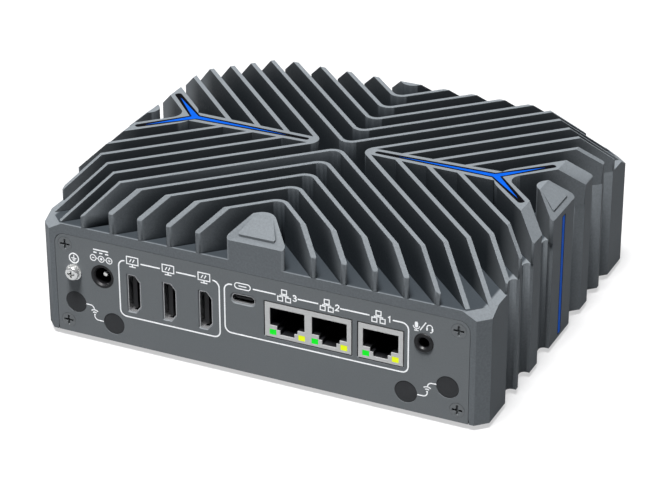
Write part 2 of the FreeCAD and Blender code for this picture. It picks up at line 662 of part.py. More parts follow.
# ---------------------------------------------------------------- front ports
def front_round_ports():
    behind = FRONT + PLATE_T + 0.2
    x, z = DC_JACK
    barrel = rod("y", (x, z), DC_JACK_R, FRONT, FRONT + 3.0)
    barrel = barrel.fuse(block((x - 4.8, x + 4.8), (behind, FRONT + 14.0), (z - 5.2, BOARD_Z[0])))
    bore = rod("y", (x, z), DC_BORE_R, FRONT, FRONT + DC_BORE_DEPTH)
    lead_in = cone("y", (x, z), DC_BORE_R + 0.55, DC_BORE_R, FRONT, FRONT + 0.6)
    save("dc_jack", barrel.cut([bore, lead_in]).removeSplitter())
    pin = rod("y", (x, z), DC_PIN_R, FRONT + 2.0, FRONT + DC_BORE_DEPTH)
    save("dc_centre_pin", rounded_end(pin, FRONT + 2.0, 0.5))

    x, z = AUDIO_JACK
    lip = FRONT - 0.4
    jack = rounded_end(rod("y", (x, z), AUDIO_RING_R, lip, FRONT + 3.0), lip, 0.3)
    jack = jack.fuse(block((x - 3.4, x + 3.4), (behind, FRONT + 14.0), (z - 3.0, BOARD_Z[0])))
    bore = rod("y", (x, z), AUDIO_BORE_R, lip, FRONT + 13.0)
    lead_in = cone("y", (x, z), AUDIO_BORE_R + 0.5, AUDIO_BORE_R, lip, FRONT + 0.2)
    save("audio_jack", jack.cut([bore, lead_in]).removeSplitter())

    plugs = []
    for centre in ANTENNA_HOLES:
        cap = rounded_end(rod("y", centre, ANTENNA_R, FRONT + 0.1, FRONT + 2.2), FRONT + 0.1, 0.25)
        plugs.append(cap.fuse(rod("y", centre, 3.4, FRONT + 2.2, FRONT + 5.0)).removeSplitter())
    save("antenna_plugs", *plugs)


def hdmi_ports():
    front, back = FRONT + PORT_SET_BACK, FRONT + HDMI_DEPTH
    floor = back - 2 * SHELL_T
    tongues = []
    for i, x in enumerate(HDMI_X):
        shell = prism(hdmi_outline(x, HDMI_Z, SHELL_T), "y", front, back)
        save("hdmi_shell_%d" % (i + 1), shell.cut(prism(hdmi_outline(x, HDMI_Z, 0.0), "y", front, floor)))
        tongue = block((x - 1.15, x + 0.55), (front + 1.2, floor), (HDMI_Z - 5.9, HDMI_Z + 5.9))
        web = block((x - 1.9, x + 1.9), (floor - 3.4, floor), (HDMI_Z - 6.3, HDMI_Z + 6.3))
        web = web.common(prism(hdmi_outline(x, HDMI_Z, -SLIP), "y", front, back))
        tongues.append(tongue.fuse(web).removeSplitter())
    save("hdmi_tongues", *tongues)


def usb_c_port():
    x, z = USB_C
    front, back = FRONT + PORT_SET_BACK, FRONT + 9.0
    floor = back - 0.5
    shell = prism(slot_outline(x, z, 4.5, 1.65), "y", front, back)
    mouth = prism(slot_outline(x, z, 4.5 - SHELL_T, 1.65 - SHELL_T), "y", front, floor)
    save("usb_c_shell", shell.cut(mouth))
    tongue = prism(rectangle((x - 3.2, x + 3.2), (z - 0.35, z + 0.35), 0.2), "y", front + 0.8, floor)
    save("usb_c_tongue", tongue)


def lan_cavity(x, y_low, y_high):
    """The stepped opening of an RJ45 port, latch side down."""
    top, shoulder, step, bottom = 27.8, 20.9, 19.4, 17.8
    corners = [
        (x - 6.55, top), (x - 6.55, shoulder), (x - 3.9, shoulder), (x - 3.9, step), (x - 2.7, step),
        (x - 2.7, bottom), (x + 2.7, bottom), (x + 2.7, step), (x + 3.9, step), (x + 3.9, shoulder),
        (x + 6.55, shoulder), (x + 6.55, top),
    ]
    return prism(corners, "y", y_low, y_high)


def lan_ports():
    back = FRONT + LAN_DEPTH
    light_z = (LAN_LIGHT_Z[0] + SLIP, LAN_LIGHT_Z[1] - SLIP)
    lamp_y = (FRONT + SLIP, FRONT + 6.0)
    contact_path = [(FRONT + LAN_CONTACT_FROM, 26.1), (FRONT + LAN_CONTACT_FROM, 25.8),
                    (FRONT + LAN_MOUTH_DEPTH - 0.1, 27.1), (FRONT + LAN_MOUTH_DEPTH - 0.1, 27.4)]
    contacts, green, yellow = [], [], []
    jacks = (("dual", DUAL_LAN_X, LAN_PORT_X[:2]), ("single", SINGLE_LAN_X, LAN_PORT_X[2:]))
    for name, x_span, port_x in jacks:
        inner_x = (x_span[0] + LAN_SHEET, x_span[1] - LAN_SHEET)
        inner_z = (LAN_Z[0] + LAN_SHEET, LAN_Z[1] - LAN_SHEET)
        core = block(inner_x, (FRONT + LAN_SHEET, back - LAN_SHEET), inner_z)
        shell = block(x_span, (FRONT, back), LAN_Z).cut(core)
        cuts = []
        for x in port_x:
            cuts.append(lan_cavity(x, FRONT - 1, FRONT + LAN_MOUTH_DEPTH))
            for side, lights in ((-1, green), (1, yellow)):
                low, high = sorted((x + side * LAN_LIGHT_X[0], x + side * LAN_LIGHT_X[1]))
                cuts.append(block((low, high), (FRONT - 1, lamp_y[1]), LAN_LIGHT_Z))
                lights.append(block((low + SLIP, high - SLIP), lamp_y, light_z))
            for i in range(LAN_CONTACTS):
                middle = x + (i - (LAN_CONTACTS - 1) / 2) * LAN_CONTACT_PITCH
                contacts.append(prism(contact_path, "x", middle - 0.22, middle + 0.22))
        save(name + "_lan_shield", shell.cut(cuts))
        save(name + "_lan_core", core.cut(cuts))
    save("lan_contacts", *contacts)
    save("lan_lights_green", *green)
    save("lan_lights_yellow", *yellow)


# ---------------------------------------------------------------- rear controls and ports
def power_controls():
    centre = POWER_BUTTON
    cap_bottom = REAR - POWER_TRAVEL - 1.2
    well = REAR - 4.0
    ring = rounded_end(rod("y", centre, POWER_RING_R, REAR, REAR + 1.0), REAR + 1.0, 0.5)
    ring = ring.fuse(rod("y", centre, POWER_BARREL_R, REAR - 14.0, REAR))
    ring = ring.cut([rod("y", centre, POWER_CAP_R + 0.3, well, REAR + 1.0),
                     rod("y", centre, POWER_STEM_R + 0.3, REAR - 9.0, well)])
    save("power_switch_body", ring.removeSplitter())
    cap = rounded_end(rod("y", centre, POWER_CAP_R, cap_bottom, REAR + POWER_PROUD), REAR + POWER_PROUD, 0.7)
    cap = cap.fuse(rod("y", centre, POWER_STEM_R, REAR - 7.0, cap_bottom)).removeSplitter()
    save("power_button", cap)
    lights = []
    for x in STATUS_LED_X:
        light = rod("y", (x, STATUS_LED_Z), STATUS_LED_R, REAR - 4.0, REAR + 0.3)
        lights.append(rounded_end(light, REAR + 0.3, 0.4))
    save("status_lights", *lights)


def usb_a_ports():
    width, height = USB_A_SIZE
    mouth = (REAR - USB_A_MOUTH_DEPTH, REAR)
    tongues = []
    for i, x in enumerate(USB_A_X):
        shell = block((x - width / 2, x + width / 2), (REAR - USB_A_DEPTH, REAR),
                      (USB_A_Z - height / 2, USB_A_Z + height / 2))
        for z in (USB_A_Z - USB_A_STEP, USB_A_Z + USB_A_STEP):
            shell = shell.cut(block((x - 6.2, x + 6.2), mouth, (z - 2.6, z + 2.6)))
            tongues.append(block((x - 5.5, x + 5.5), (mouth[0], REAR - 1.5), (z + 0.2, z + 2.0)))
        save("usb_a_shell_%d" % (i + 1), shell)
    save("usb_a_tongues", *tongues)


# ---------------------------------------------------------------- board and what is on it
def mainboard():
    low, high = BOARD_Z
    plan = rectangle((-BOARD_HALF_W, BOARD_HALF_W), (-BOARD_HALF_D, BOARD_HALF_D), 2.0)
    board = prism(plan, "z", low, high)
    save("mainboard", board.cut([rod("z", centre, M3_CLEAR_R, low, high) for centre in BOARD_SCREWS]))
    coil_y, coil_z = (COIL_Y, COIL_Y + COIL_SIZE), (high, high + COIL_HEIGHT)
    parts = [block((x, x + COIL_SIZE), coil_y, coil_z) for x in COIL_X]
    for y in CAPACITOR_Y:
        parts.append(rod("z", (CAPACITOR_X, y), CAPACITOR_R, high, high + CAPACITOR_HEIGHT))
    save("power_components", *parts)
    die_low, die_high = high + DIE_STEP, high + 2 * DIE_STEP
    pad_high = die_high + PAD_T
    package = block(PACKAGE_X, PACKAGE_Y, (high, die_low))
    save("cpu_package", package.fuse(block(DIE_X, DIE_Y, (die_low, die_high))))
    save("thermal_pad", block(DIE_X, DIE_Y, (die_high, pad_high)))
    spread_x = (PACKAGE_X[0] - SPREADER_MARGIN, PACKAGE_X[1] + SPREADER_MARGIN)
    spread_y = (PACKAGE_Y[0] - SPREADER_MARGIN, PACKAGE_Y[1] + SPREADER_MARGIN)
    save("heat_spreader_block", block(spread_x, spread_y, (pad_high, ROOF_Z)))


def memory():
    """Memory module, lying in its socket under the board."""
    under = BOARD_Z[0]
    card = (under - 3.4, under - 2.4)
    socket = block((-35.5, 35.5), (12, 19), (under - 5.2, under))
    slot = block((MEMORY_X[0] - 0.1, MEMORY_X[1] + 0.1), (11, 15), (card[0] - 0.1, card[1] + 0.1))
    save("memory_socket", socket.cut(slot))
    module = block(MEMORY_X, MEMORY_Y, card)
    for x in MEMORY_CHIP_X:
        module = module.fuse(block((x, x + 11), (-10, 2), (card[0] - 1.0, card[0])))
    save("memory_module", module)


def drive_and_radio():
    """Drive and radio cards under the board, each in a socket at one end and on a post at the other."""
    under = BOARD_Z[0]
    card = (under - CARD_BELOW - CARD_T, under - CARD_BELOW)
    chips = (card[0] - CHIP_T, card[0])
    sockets = []
    for x, y in CARD_SOCKETS:
        socket = block((x - 11, x + 11), (y - 6, y), (under - 4.2, under))
        slot = block((x - 10.9, x + 10.9), (y - 7, y - 3), (card[0] - 0.05, card[1] + 0.05))
        sockets.append(socket.cut(slot))
    save("m2_sockets", *sockets)
    screw_holes = [rod("z", centre, 1.6, card[0] - 1, card[1] + 1) for centre in CARD_SCREWS]
    drive = block(DRIVE_X, DRIVE_Y, card)
    for y in DRIVE_CHIP_Y:
        drive = drive.fuse(block((-56, -40), (y, y + 16), chips))
    save("solid_state_drive", drive.cut(screw_holes[0]))
    radio = block(RADIO_X, RADIO_Y, card).fuse(block((41, 57), (-8, 6), chips))
    save("wireless_module", radio.cut(screw_holes[1]))
    posts, card_screws = [], []
    for centre in CARD_SCREWS:
        post = rod("z", centre, 2.5, under - 2.5, under)
        posts.append(post.cut(rod("z", centre, 1.0, under - 2.5, under)))
        card_screws.append(aimed(pan_screw(2.6, 2.2, 1.0, 0.95), "-z", V(*centre, card[0] - 0.01)))
    save("module_posts", *posts)
    save("module_screws", *card_screws)


def coin_cell():
    under = BOARD_Z[0]
    holder = rod("z", COIN_CELL, COIN_CELL_R + 1.5, under - 5.0, under)
    save("coin_cell_holder", holder.cut(rod("z", COIN_CELL, COIN_CELL_R + 0.2, under - 5.0, under - 1.4)))
    save("coin_cell", rod("z", COIN_CELL, COIN_CELL_R, under - 4.7, under - 1.5))


os.makedirs("parts", exist_ok=True)
OUTER_FORM, PLAN = envelope()
heatsink_housing(OUTER_FORM, PLAN)
fins(OUTER_FORM)
accent_inlays()
front_port_plate()
rear_port_plate()
bottom_cover()
rubber_feet()
screws()
front_round_ports()
hdmi_ports()
usb_c_port()
lan_ports()
power_controls()
usb_a_ports()
mainboard()
memory()
drive_and_radio()
coin_cell()
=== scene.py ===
import json
import math

import bmesh
import bpy
from mathutils import Matrix, Vector


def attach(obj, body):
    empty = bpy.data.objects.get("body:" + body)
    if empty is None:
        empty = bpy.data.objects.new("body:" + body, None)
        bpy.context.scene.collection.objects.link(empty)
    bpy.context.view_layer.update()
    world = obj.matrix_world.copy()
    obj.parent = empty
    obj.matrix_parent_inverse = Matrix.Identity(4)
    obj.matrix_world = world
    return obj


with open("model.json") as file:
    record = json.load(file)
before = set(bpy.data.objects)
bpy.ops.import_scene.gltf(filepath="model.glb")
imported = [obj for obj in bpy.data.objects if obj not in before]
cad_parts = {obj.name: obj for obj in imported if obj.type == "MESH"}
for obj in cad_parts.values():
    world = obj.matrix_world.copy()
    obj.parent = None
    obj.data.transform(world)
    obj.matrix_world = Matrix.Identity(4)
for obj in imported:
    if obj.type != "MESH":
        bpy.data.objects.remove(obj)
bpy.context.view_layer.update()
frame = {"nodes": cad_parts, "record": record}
nodes = frame["nodes"]

# Metres throughout. X runs along the port plate, which faces -Y. Z is up, from the feet.
MM = 0.001
BODY = "case"


# ---------------------------------------------------------------- materials
def new_material(name):
    material = bpy.data.materials.new(name)
    material.use_nodes = True
    tree = material.node_tree
    shader = tree.nodes["Principled BSDF"]
    return material, tree, shader


def add(tree, kind, **sockets):
    """A node with the given constants on its sockets."""
    node = tree.nodes.new(kind)
    for name, value in sockets.items():
        node.inputs[name.replace("_", " ")].default_value = value
    return node


def object_coordinates(tree, stretch=(1, 1, 1)):
    coordinates = tree.nodes.new("ShaderNodeTexCoord")
    mapping = add(tree, "ShaderNodeMapping", Scale=stretch)
    tree.links.new(coordinates.outputs["Object"], mapping.inputs["Vector"])
    return mapping.outputs["Vector"]


def noise(tree, vector, scale, detail=3.0, rough=0.55):
    texture = add(tree, "ShaderNodeTexNoise", Scale=scale, Detail=detail, Roughness=rough)
    tree.links.new(vector, texture.inputs["Vector"])
    return texture.outputs["Fac"]


# Noise seldom leaves this range, so the ramps that read it run between these two.
NOISE_RANGE = (0.3, 0.7)


def ramp(tree, value, low, high):
    """The noise value turned into a colour between low and high."""
    node = tree.nodes.new("ShaderNodeValToRGB")
    for element, position, colour in zip(node.color_ramp.elements, NOISE_RANGE, (low, high)):
        element.position = position
        element.color = (*colour, 1.0)
    tree.links.new(value, node.inputs["Fac"])
    return node.outputs["Color"]


def grey(level):
    return (level, level, level)


def scaled(colour, factor):
    return tuple(min(1.0, c * factor) for c in colour)


# The mix node has sockets of one name for every kind of data, so its colour sockets are taken by number.
MIX_A, MIX_B, MIX_RESULT = 6, 7, 2


def mix(tree, factor, first, second, blend="MIX"):
    """Colour mix; factor, first and second are sockets or constants."""
    node = tree.nodes.new("ShaderNodeMix")
    node.data_type = "RGBA"
    node.blend_type = blend
    sockets = (node.inputs["Factor"], node.inputs[MIX_A], node.inputs[MIX_B])
    for socket, value in zip(sockets, (factor, first, second)):
        if isinstance(value, bpy.types.NodeSocket):
            tree.links.new(value, socket)
        elif isinstance(value, tuple):
            socket.default_value = (*value, 1.0)
        else:
            socket.default_value = value
    return node.outputs[MIX_RESULT]


def bump(tree, shader, height, strength, distance):
    node = add(tree, "ShaderNodeBump", Strength=strength, Distance=distance)
    tree.links.new(height, node.inputs["Height"])
    tree.links.new(node.outputs["Normal"], shader.inputs["Normal"])


CLOUD_PART = 0.6            # how deep the clouds are beside the grain


def grained(name, colour, rough, metallic=0.0, grain=900.0, spread=0.12, cloud=60.0,
            bump_strength=0.25, bump_depth=0.00006, stretch=(1, 1, 1), specular=0.5):
    """A surface with fine grain, slow colour clouds and a roughness that varies with the grain.

    grain and cloud are the scales of the two noises; spread is how far the grain moves the colour."""
    material, tree, shader = new_material(name)
    vector = object_coordinates(tree, stretch)
    fine = noise(tree, vector, grain, detail=2.0, rough=0.6)
    slow = noise(tree, vector, cloud, detail=3.0, rough=0.5)
    fine_tint = ramp(tree, fine, scaled(colour, 1 - spread), scaled(colour, 1 + spread))
    slow_tint = ramp(tree, slow, grey(1 - spread * CLOUD_PART), grey(1.0))
    tree.links.new(mix(tree, 1.0, fine_tint, slow_tint, "MULTIPLY"), shader.inputs["Base Color"])
    low, high = rough
    tree.links.new(ramp(tree, fine, grey(low), grey(high)), shader.inputs["Roughness"])
    bump(tree, shader, fine, bump_strength, bump_depth)
    shader.inputs["Metallic"].default_value = metallic
    shader.inputs["Specular IOR Level"].default_value = specular
    return material


def math_node(tree, operation, first, second=None):
    """Socket of a math operation; first and second are sockets or numbers."""
    node = tree.nodes.new("ShaderNodeMath")
    node.operation = operation
    for socket, value in zip(node.inputs, (first, second)):
        if isinstance(value, bpy.types.NodeSocket):
            tree.links.new(value, socket)
        elif value is not None:
            socket.default_value = value
    return node.outputs["Value"]


INNER = (81.8 * MM, 69.9 * MM)      # the floors of the side grooves, and just inside the port plates' faces
FADE = (9 * MM, 0.9 * MM)           # the painted shade reaches its full depth this far behind those faces
GAP_FLOOR = (44.3 * MM, 44.7 * MM)  # heights just below and just above the floor of the gaps
# how much painted shade the gap floors get
FLOOR_SHADE = 0.9
GAP_REACH = 20 * MM
GAP_RAYS = 8
GAP_POWER = 2.0                     # how quickly the painted shade deepens as a place closes in
# colour of the painted shade in the gaps
GAP_SHADE_COLOUR = (0.012, 0.0155, 0.019)


def clamped(socket):
    """The same math socket, held between 0 and 1."""
    socket.node.use_clamp = True
    return socket


def shaded_gaps(material):
    """Painted shade: the colour is darkened deep between the fins and on the gap floors, by ambient
    occlusion, and not on their open tops and ends.
    """
    tree = material.node_tree
    base = tree.nodes["Principled BSDF"].inputs["Base Color"]
    colour = base.links[0].from_socket
    coordinates = tree.nodes.new("ShaderNodeTexCoord")
    split = tree.nodes.new("ShaderNodeSeparateXYZ")
    tree.links.new(coordinates.outputs["Object"], split.inputs["Vector"])
    above = math_node(tree, "GREATER_THAN", split.outputs["Z"], GAP_FLOOR[0])
    on_floor = math_node(tree, "LESS_THAN", split.outputs["Z"], GAP_FLOOR[1])
    walls = above
    floor = math_node(tree, "MULTIPLY", math_node(tree, "MULTIPLY", on_floor, FLOOR_SHADE), above)
    for axis, limit, fade in zip("XY", INNER, FADE):
        behind = math_node(tree, "SUBTRACT", limit, math_node(tree, "ABSOLUTE", split.outputs[axis]))
        walls = math_node(tree, "MULTIPLY", walls, clamped(math_node(tree, "DIVIDE", behind, fade)))
        floor = math_node(tree, "MULTIPLY", floor, clamped(math_node(tree, "DIVIDE", behind, FADE[1])))
    openness = add(tree, "ShaderNodeAmbientOcclusion", Distance=GAP_REACH)
    openness.samples = GAP_RAYS
    closed = math_node(tree, "SUBTRACT", 1.0, math_node(tree, "POWER", openness.outputs["AO"], GAP_POWER))
    # painted shade: the colour is darkened where the walls are closed in, and on the gap floors
    painted_shade = math_node(tree, "MAXIMUM", math_node(tree, "MULTIPLY", closed, walls), floor)
    tree.links.new(mix(tree, painted_shade, colour, GAP_SHADE_COLOUR), base)


def glowing(material, colour, strength):
    """The surface gives off light: the status lights shine, and the blue accents get a painted glow."""
    shader = material.node_tree.nodes["Principled BSDF"]
    shader.inputs["Emission Color"].default_value = (*colour, 1.0)
    shader.inputs["Emission Strength"].default_value = strength


# Name: base colour, roughness from and to, and what differs from the settings of grained.
FINISHES = {
    "cast_grey": ((0.094, 0.103, 0.111), (0.52, 0.64), dict(
        grain=1300, spread=0.1, cloud=45, bump_strength=0.2, bump_depth=0.00005, specular=0.08)),
    "plate_grey": ((0.104, 0.112, 0.118), (0.5, 0.6), dict(
        grain=1600, spread=0.04, cloud=25, bump_strength=0.1, bump_depth=0.00004, specular=0.1)),
    "cover_black": ((0.02, 0.02, 0.022), (0.4, 0.5), dict(
        grain=1400, spread=0.15, cloud=30, bump_strength=0.15)),
    "insert_steel": ((0.55, 0.55, 0.56), (0.25, 0.4), dict(
        metallic=1.0, grain=700, spread=0.08, cloud=200)),
    "plate_screw_dark": ((0.1, 0.107, 0.112), (0.4, 0.5), dict(metallic=0.2, spread=0.08, cloud=200)),
    "ground_metal": ((0.75, 0.75, 0.74), (0.16, 0.28), dict(metallic=0.9, spread=0.06, cloud=300)),
    "foot_rubber": ((0.015, 0.015, 0.015), (0.75, 0.9), dict(grain=800, spread=0.25, cloud=90)),
    "accent_black": ((0.001, 0.001, 0.0015), (0.5, 0.65), dict(
        grain=600, spread=0.2, cloud=90, bump_strength=0.05, specular=0.03)),
    "accent_blue": ((0.001, 0.036, 0.22), (0.5, 0.6), dict(
        grain=500, spread=0.08, bump_strength=0.05, specular=0.03)),
    "jack_black": ((0.005, 0.005, 0.006), (0.4, 0.5), dict(
        grain=700, spread=0.2, cloud=150, bump_strength=0.08, specular=0.3)),
    "usb_blue": ((0.01, 0.07, 0.5), (0.4, 0.5), dict(grain=700, spread=0.1, cloud=150, bump_strength=0.1)),
    "port_metal": ((0.46, 0.46, 0.455), (0.3, 0.42), dict(
        metallic=0.5, grain=500, spread=0.05, cloud=150, bump_strength=0.08, bump_depth=0.00003,
        stretch=(1, 1, 6))),
    "shell_dark": ((0.4, 0.4, 0.41), (0.15, 0.24), dict(
        metallic=0.8, grain=500, spread=0.06, cloud=150, bump_strength=0.06, bump_depth=0.00003)),
    "pin_metal": ((0.8, 0.78, 0.75), (0.12, 0.2), dict(
        metallic=0.8, grain=500, spread=0.05, cloud=200, bump_strength=0.05)),
    "contact_gold": ((0.85, 0.58, 0.2), (0.2, 0.3), dict(
        metallic=1.0, grain=500, spread=0.06, cloud=200, bump_strength=0.05)),
    "plug_rubber": ((0.022, 0.023, 0.025), (0.5, 0.65), dict(
        grain=700, cloud=120, bump_strength=0.2, specular=0.2)),
    "light_green": ((0.005, 0.16, 0.01), (0.3, 0.4), dict(
        grain=400, spread=0.05, cloud=150, bump_strength=0.05, specular=0.1)),
    "light_yellow": ((0.17, 0.2, 0.005), (0.3, 0.4), dict(
        grain=400, spread=0.05, cloud=150, bump_strength=0.05, specular=0.1)),
    "light_clear": ((0.6, 0.6, 0.6), (0.2, 0.3), dict(
        grain=400, spread=0.05, cloud=150, bump_strength=0.05)),
    "switch_metal": ((0.03, 0.03, 0.032), (0.25, 0.35), dict(
        metallic=0.6, spread=0.1, cloud=150, bump_strength=0.08)),
    "board_laminate": ((0.01, 0.08, 0.03), (0.3, 0.4), dict(
        grain=500, spread=0.2, cloud=90, bump_strength=0.1)),
    "chip_black": ((0.015, 0.015, 0.016), (0.5, 0.6), dict(
        grain=700, spread=0.2, cloud=150, bump_strength=0.15)),
    "pad_grey": ((0.25, 0.25, 0.27), (0.8, 0.9), dict(grain=500, spread=0.1, cloud=90)),
    "spreader": ((0.7, 0.68, 0.66), (0.25, 0.35), dict(metallic=1.0, grain=500, spread=0.06, cloud=90)),
    "cell_steel": ((0.6, 0.6, 0.58), (0.2, 0.3), dict(metallic=1.0, grain=500, spread=0.06, cloud=90)),
    "print_white": ((0.72, 0.73, 0.74), (0.5, 0.6), dict(
        spread=0.03, cloud=200, bump_strength=0.1, bump_depth=0.00002)),
}
# Name: colour and strength of the light given off; on accent_blue it is a painted glow.
GLOWS = {
    # painted glow: the blue accents are no lamp; this light only brightens their blue
    "accent_blue": ((0.0, 0.17, 1.0), 0.17),
    "light_green": ((0.004, 0.85, 0.02), 0.75),
    "light_yellow": ((0.82, 0.95, 0.01), 0.72),
}
MATERIALS = {name: grained(name, colour, rough, **more) for name, (colour, rough, more) in FINISHES.items()}
for finish, (colour, strength) in GLOWS.items():
    glowing(MATERIALS[finish], colour, strength)
# painted shade in the fin gaps of the housing
shaded_gaps(MATERIALS["cast_grey"])

for entry in frame["record"]["subparts"]:
    slots = nodes[entry["node"]].material_slots
    for material_slot in slots:
        material_slot.material = MATERIALS[entry["material_slot"]]
    if not slots:
        nodes[entry["node"]].data.materials.append(MATERIALS[entry["material_slot"]])


# ---------------------------------------------------------------- softened edges on the CAD nodes
WELD = 0.002 * MM
SAME_PLANE = 0.6            # degrees; faces this near to one plane are joined
SHARP = 25                  # degrees; edges sharper than this are rounded
EDGE_STEPS = 2


def soften(node, width):
    """Small rounded edges, made by modifiers: the CAD mesh itself stays as it is."""
    obj = nodes[node]
    weld = obj.modifiers.new("weld", "WELD")
    weld.merge_threshold = WELD
    flat = obj.modifiers.new("flat", "DECIMATE")
    flat.decimate_type = "DISSOLVE"
    flat.angle_limit = math.radians(SAME_PLANE)
    edge = obj.modifiers.new("edge", "BEVEL")
    edge.width = width
    edge.segments = EDGE_STEPS
    edge.limit_method = "ANGLE"
    edge.angle_limit = math.radians(SHARP)
    edge.miter_outer = "MITER_ARC"
    edge.harden_normals = True


# Node: width of the rounded edge, in mm.
SOFTENED = {
    "heatsink_housing": 0.3,
    "port_fins": 0.22,
    "side_fins_left": 0.22,
    "side_fins_right": 0.22,
    "front_port_plate": 0.12,
    "rear_port_plate": 0.12,
}
for node, width in SOFTENED.items():
    soften(node, width * MM)


# ---------------------------------------------------------------- printed marks on the port plates
# The marks are drawn in mm, as (across, height above the floor), as seen by someone who faces the plate.
FRONT_FACE = -70.0
REAR_FACE = 70.0
INK = 0.03                  # thickness of the print
LINE = 0.5                  # widths of the printed lines
MEDIUM = 0.45
FINE = 0.38
THIN = 0.3
ICON_Z = 35.4               # middle height of the marks above the frames
FRAME_TOP = 35.3
CORNER = 2.4                # radius of the frames' corners
CORNER_STEP = 15            # degrees between the points of a frame's corner
MITRE_LEAST = 0.4           # keeps sharp corners of a line from growing long points
SAME_POINT = 1e-3
PLACES = 5                  # decimals within which two corners are one


class Marks:
    """One piece of printing: closed thin shapes on a port plate."""

    def __init__(self, name, rear=False):
        self.name = name
        self.rear = rear
        self.shapes = []

    def polygon(self, points):
        self.shapes.append([points])

    def strip(self, left, right, closed=False):
        """Band between two lines of points, as one closed shape."""
        last = len(left) if closed else len(left) - 1
        quads = []
        for i in range(last):
            k = (i + 1) % len(left)
            quads.append([left[i], left[k], right[k], right[i]])
        self.shapes.append(quads)

    def line(self, points, width=LINE, closed=False):
        """Line of even width with mitred corners."""
        points = [p for i, p in enumerate(points) if i == 0 or math.dist(p, points[i - 1]) > SAME_POINT]
        left, right = [], []
        count = len(points)
        for i, (x, z) in enumerate(points):
            before = points[i - 1] if closed or i > 0 else None
            after = points[(i + 1) % count] if closed or i < count - 1 else None
            way_in = unit(x - before[0], z - before[1]) if before else None
            way_out = unit(after[0] - x, after[1] - z) if after else None
            way_in, way_out = way_in or way_out, way_out or way_in
            across = unit(-(way_in[1] + way_out[1]), way_in[0] + way_out[0])
            reach = width / 2 / max(MITRE_LEAST, across[1] * way_in[0] - across[0] * way_in[1])
            left.append((x + across[0] * reach, z + across[1] * reach))
            right.append((x - across[0] * reach, z - across[1] * reach))
        self.strip(left, right, closed)

    def ring(self, x, z, radius, width=FINE):
        self.line(arc(x, z, radius, 0, 345, 15), width, closed=True)

    def disc(self, x, z, radius):
        self.polygon(arc(x, z, radius, 0, 337.5, 22.5))

    def box(self, x, z, half_w, half_h, width=FINE):
        """Outlined rectangle, its outer size given."""
        w, h = half_w - width / 2, half_h - width / 2
        self.line([(x - w, z - h), (x + w, z - h), (x + w, z + h), (x - w, z + h)], width, closed=True)

    def build(self):
        """The shapes as one mesh, INK thick: a front, a back and a wall along every edge with one quad."""
        mesh = bpy.data.meshes.new(self.name)
        work = bmesh.new()
        face = REAR_FACE if self.rear else FRONT_FACE
        out = 1 if self.rear else -1
        for quads in self.shapes:
            made = {}
            sides = {}
            for quad in quads:
                for depth in (0.0, INK):
                    corners = []
                    for x, z in quad:
                        key = (*spot(x, z), depth)
                        if key not in made:
                            made[key] = work.verts.new((-out * x * MM, (face + out * depth) * MM, z * MM))
                        corners.append(made[key])
                    work.faces.new(corners)
                for a, b in zip(quad, quad[1:] + quad[:1]):
                    edge = frozenset((spot(*a), spot(*b)))
                    sides[edge] = sides.get(edge, 0) + 1
            for edge, uses in sides.items():
                if uses == 1:
                    (ax, az), (bx, bz) = edge
                    low_a, low_b = made[(ax, az, 0.0)], made[(bx, bz, 0.0)]
                    work.faces.new([low_a, low_b, made[(bx, bz, INK)], made[(ax, az, INK)]])
        bmesh.ops.recalc_face_normals(work, faces=work.faces)
        work.to_mesh(mesh)
        work.free()
        mesh.materials.append(MATERIALS["print_white"])
        piece = bpy.data.objects.new(self.name, mesh)
        bpy.context.scene.collection.objects.link(piece)
        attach(piece, BODY)
        return piece


def spot(x, z):
    return (round(x, PLACES), round(z, PLACES))


def unit(x, z):
    length = math.hypot(x, z)
    return (x / length, z / length)


def arc(x, z, radius, start, end, step):
    """Points on an arc, in degrees from +across towards up."""
    count = max(1, round(abs(end - start) / step))
    angles = [math.radians(start + (end - start) * i / count) for i in range(count + 1)]
    return [(x + radius * math.cos(a), z + radius * math.sin(a)) for a in angles]


def port_frame(marks, sides, heights, gap, dashes):
    """Rounded frame round a group of ports, its top line broken for the marks above the ports.

    gap is where the top line stops on the left and starts again on the right, and dashes are the pieces of
    line between, each from one place across to another."""
    (left, right), (bottom, top), r = sides, heights, CORNER
    path = [(gap[0], top)]
    for x, z, start in ((left + r, top - r, 90), (left + r, bottom + r, 180),
                        (right - r, bottom + r, 270), (right - r, top - r, 0)):
        path += arc(x, z, r, start, start + 90, CORNER_STEP)
    marks.line(path + [(gap[1], top)])
    for start, end in dashes:
        marks.line([(start, top), (end, top)])


def monitor_icon(marks, x):
    """A screen on its stand, with two slanting lines on it."""
    marks.box(x, ICON_Z + 0.48, 2.45, 1.6)
    marks.line([(x, ICON_Z - 1.1), (x, ICON_Z - 1.75)], LINE)
    marks.line([(x - 1.3, ICON_Z - 1.9), (x + 1.3, ICON_Z - 1.9)], FINE)
    for shift in (-0.75, 0.45):
        marks.line([(x + shift - 0.35, ICON_Z - 0.15), (x + shift + 0.35, ICON_Z + 1.1)], FINE)


DIGIT_LINE = 0.42
DIGITS = {
    1: [(-0.45, 0.6), (0.15, 1.1), (0.15, -1.1)],
    2: [(-0.65, 0.5), (-0.45, 0.95), (0, 1.1), (0.45, 0.95), (0.62, 0.55), (0.4, 0.05), (-0.62, -1.05),
        (0.7, -1.05)],
    3: [(-0.6, 0.75), (-0.25, 1.08), (0.3, 1.02), (0.55, 0.62), (0.35, 0.2), (0.0, 0.08), (0.45, -0.08),
        (0.66, -0.5), (0.4, -0.95), (-0.15, -1.1), (-0.65, -0.75)],
}


def digit(marks, number, x, z):
    marks.line([(x + a, z + b) for a, b in DIGITS[number]], DIGIT_LINE)


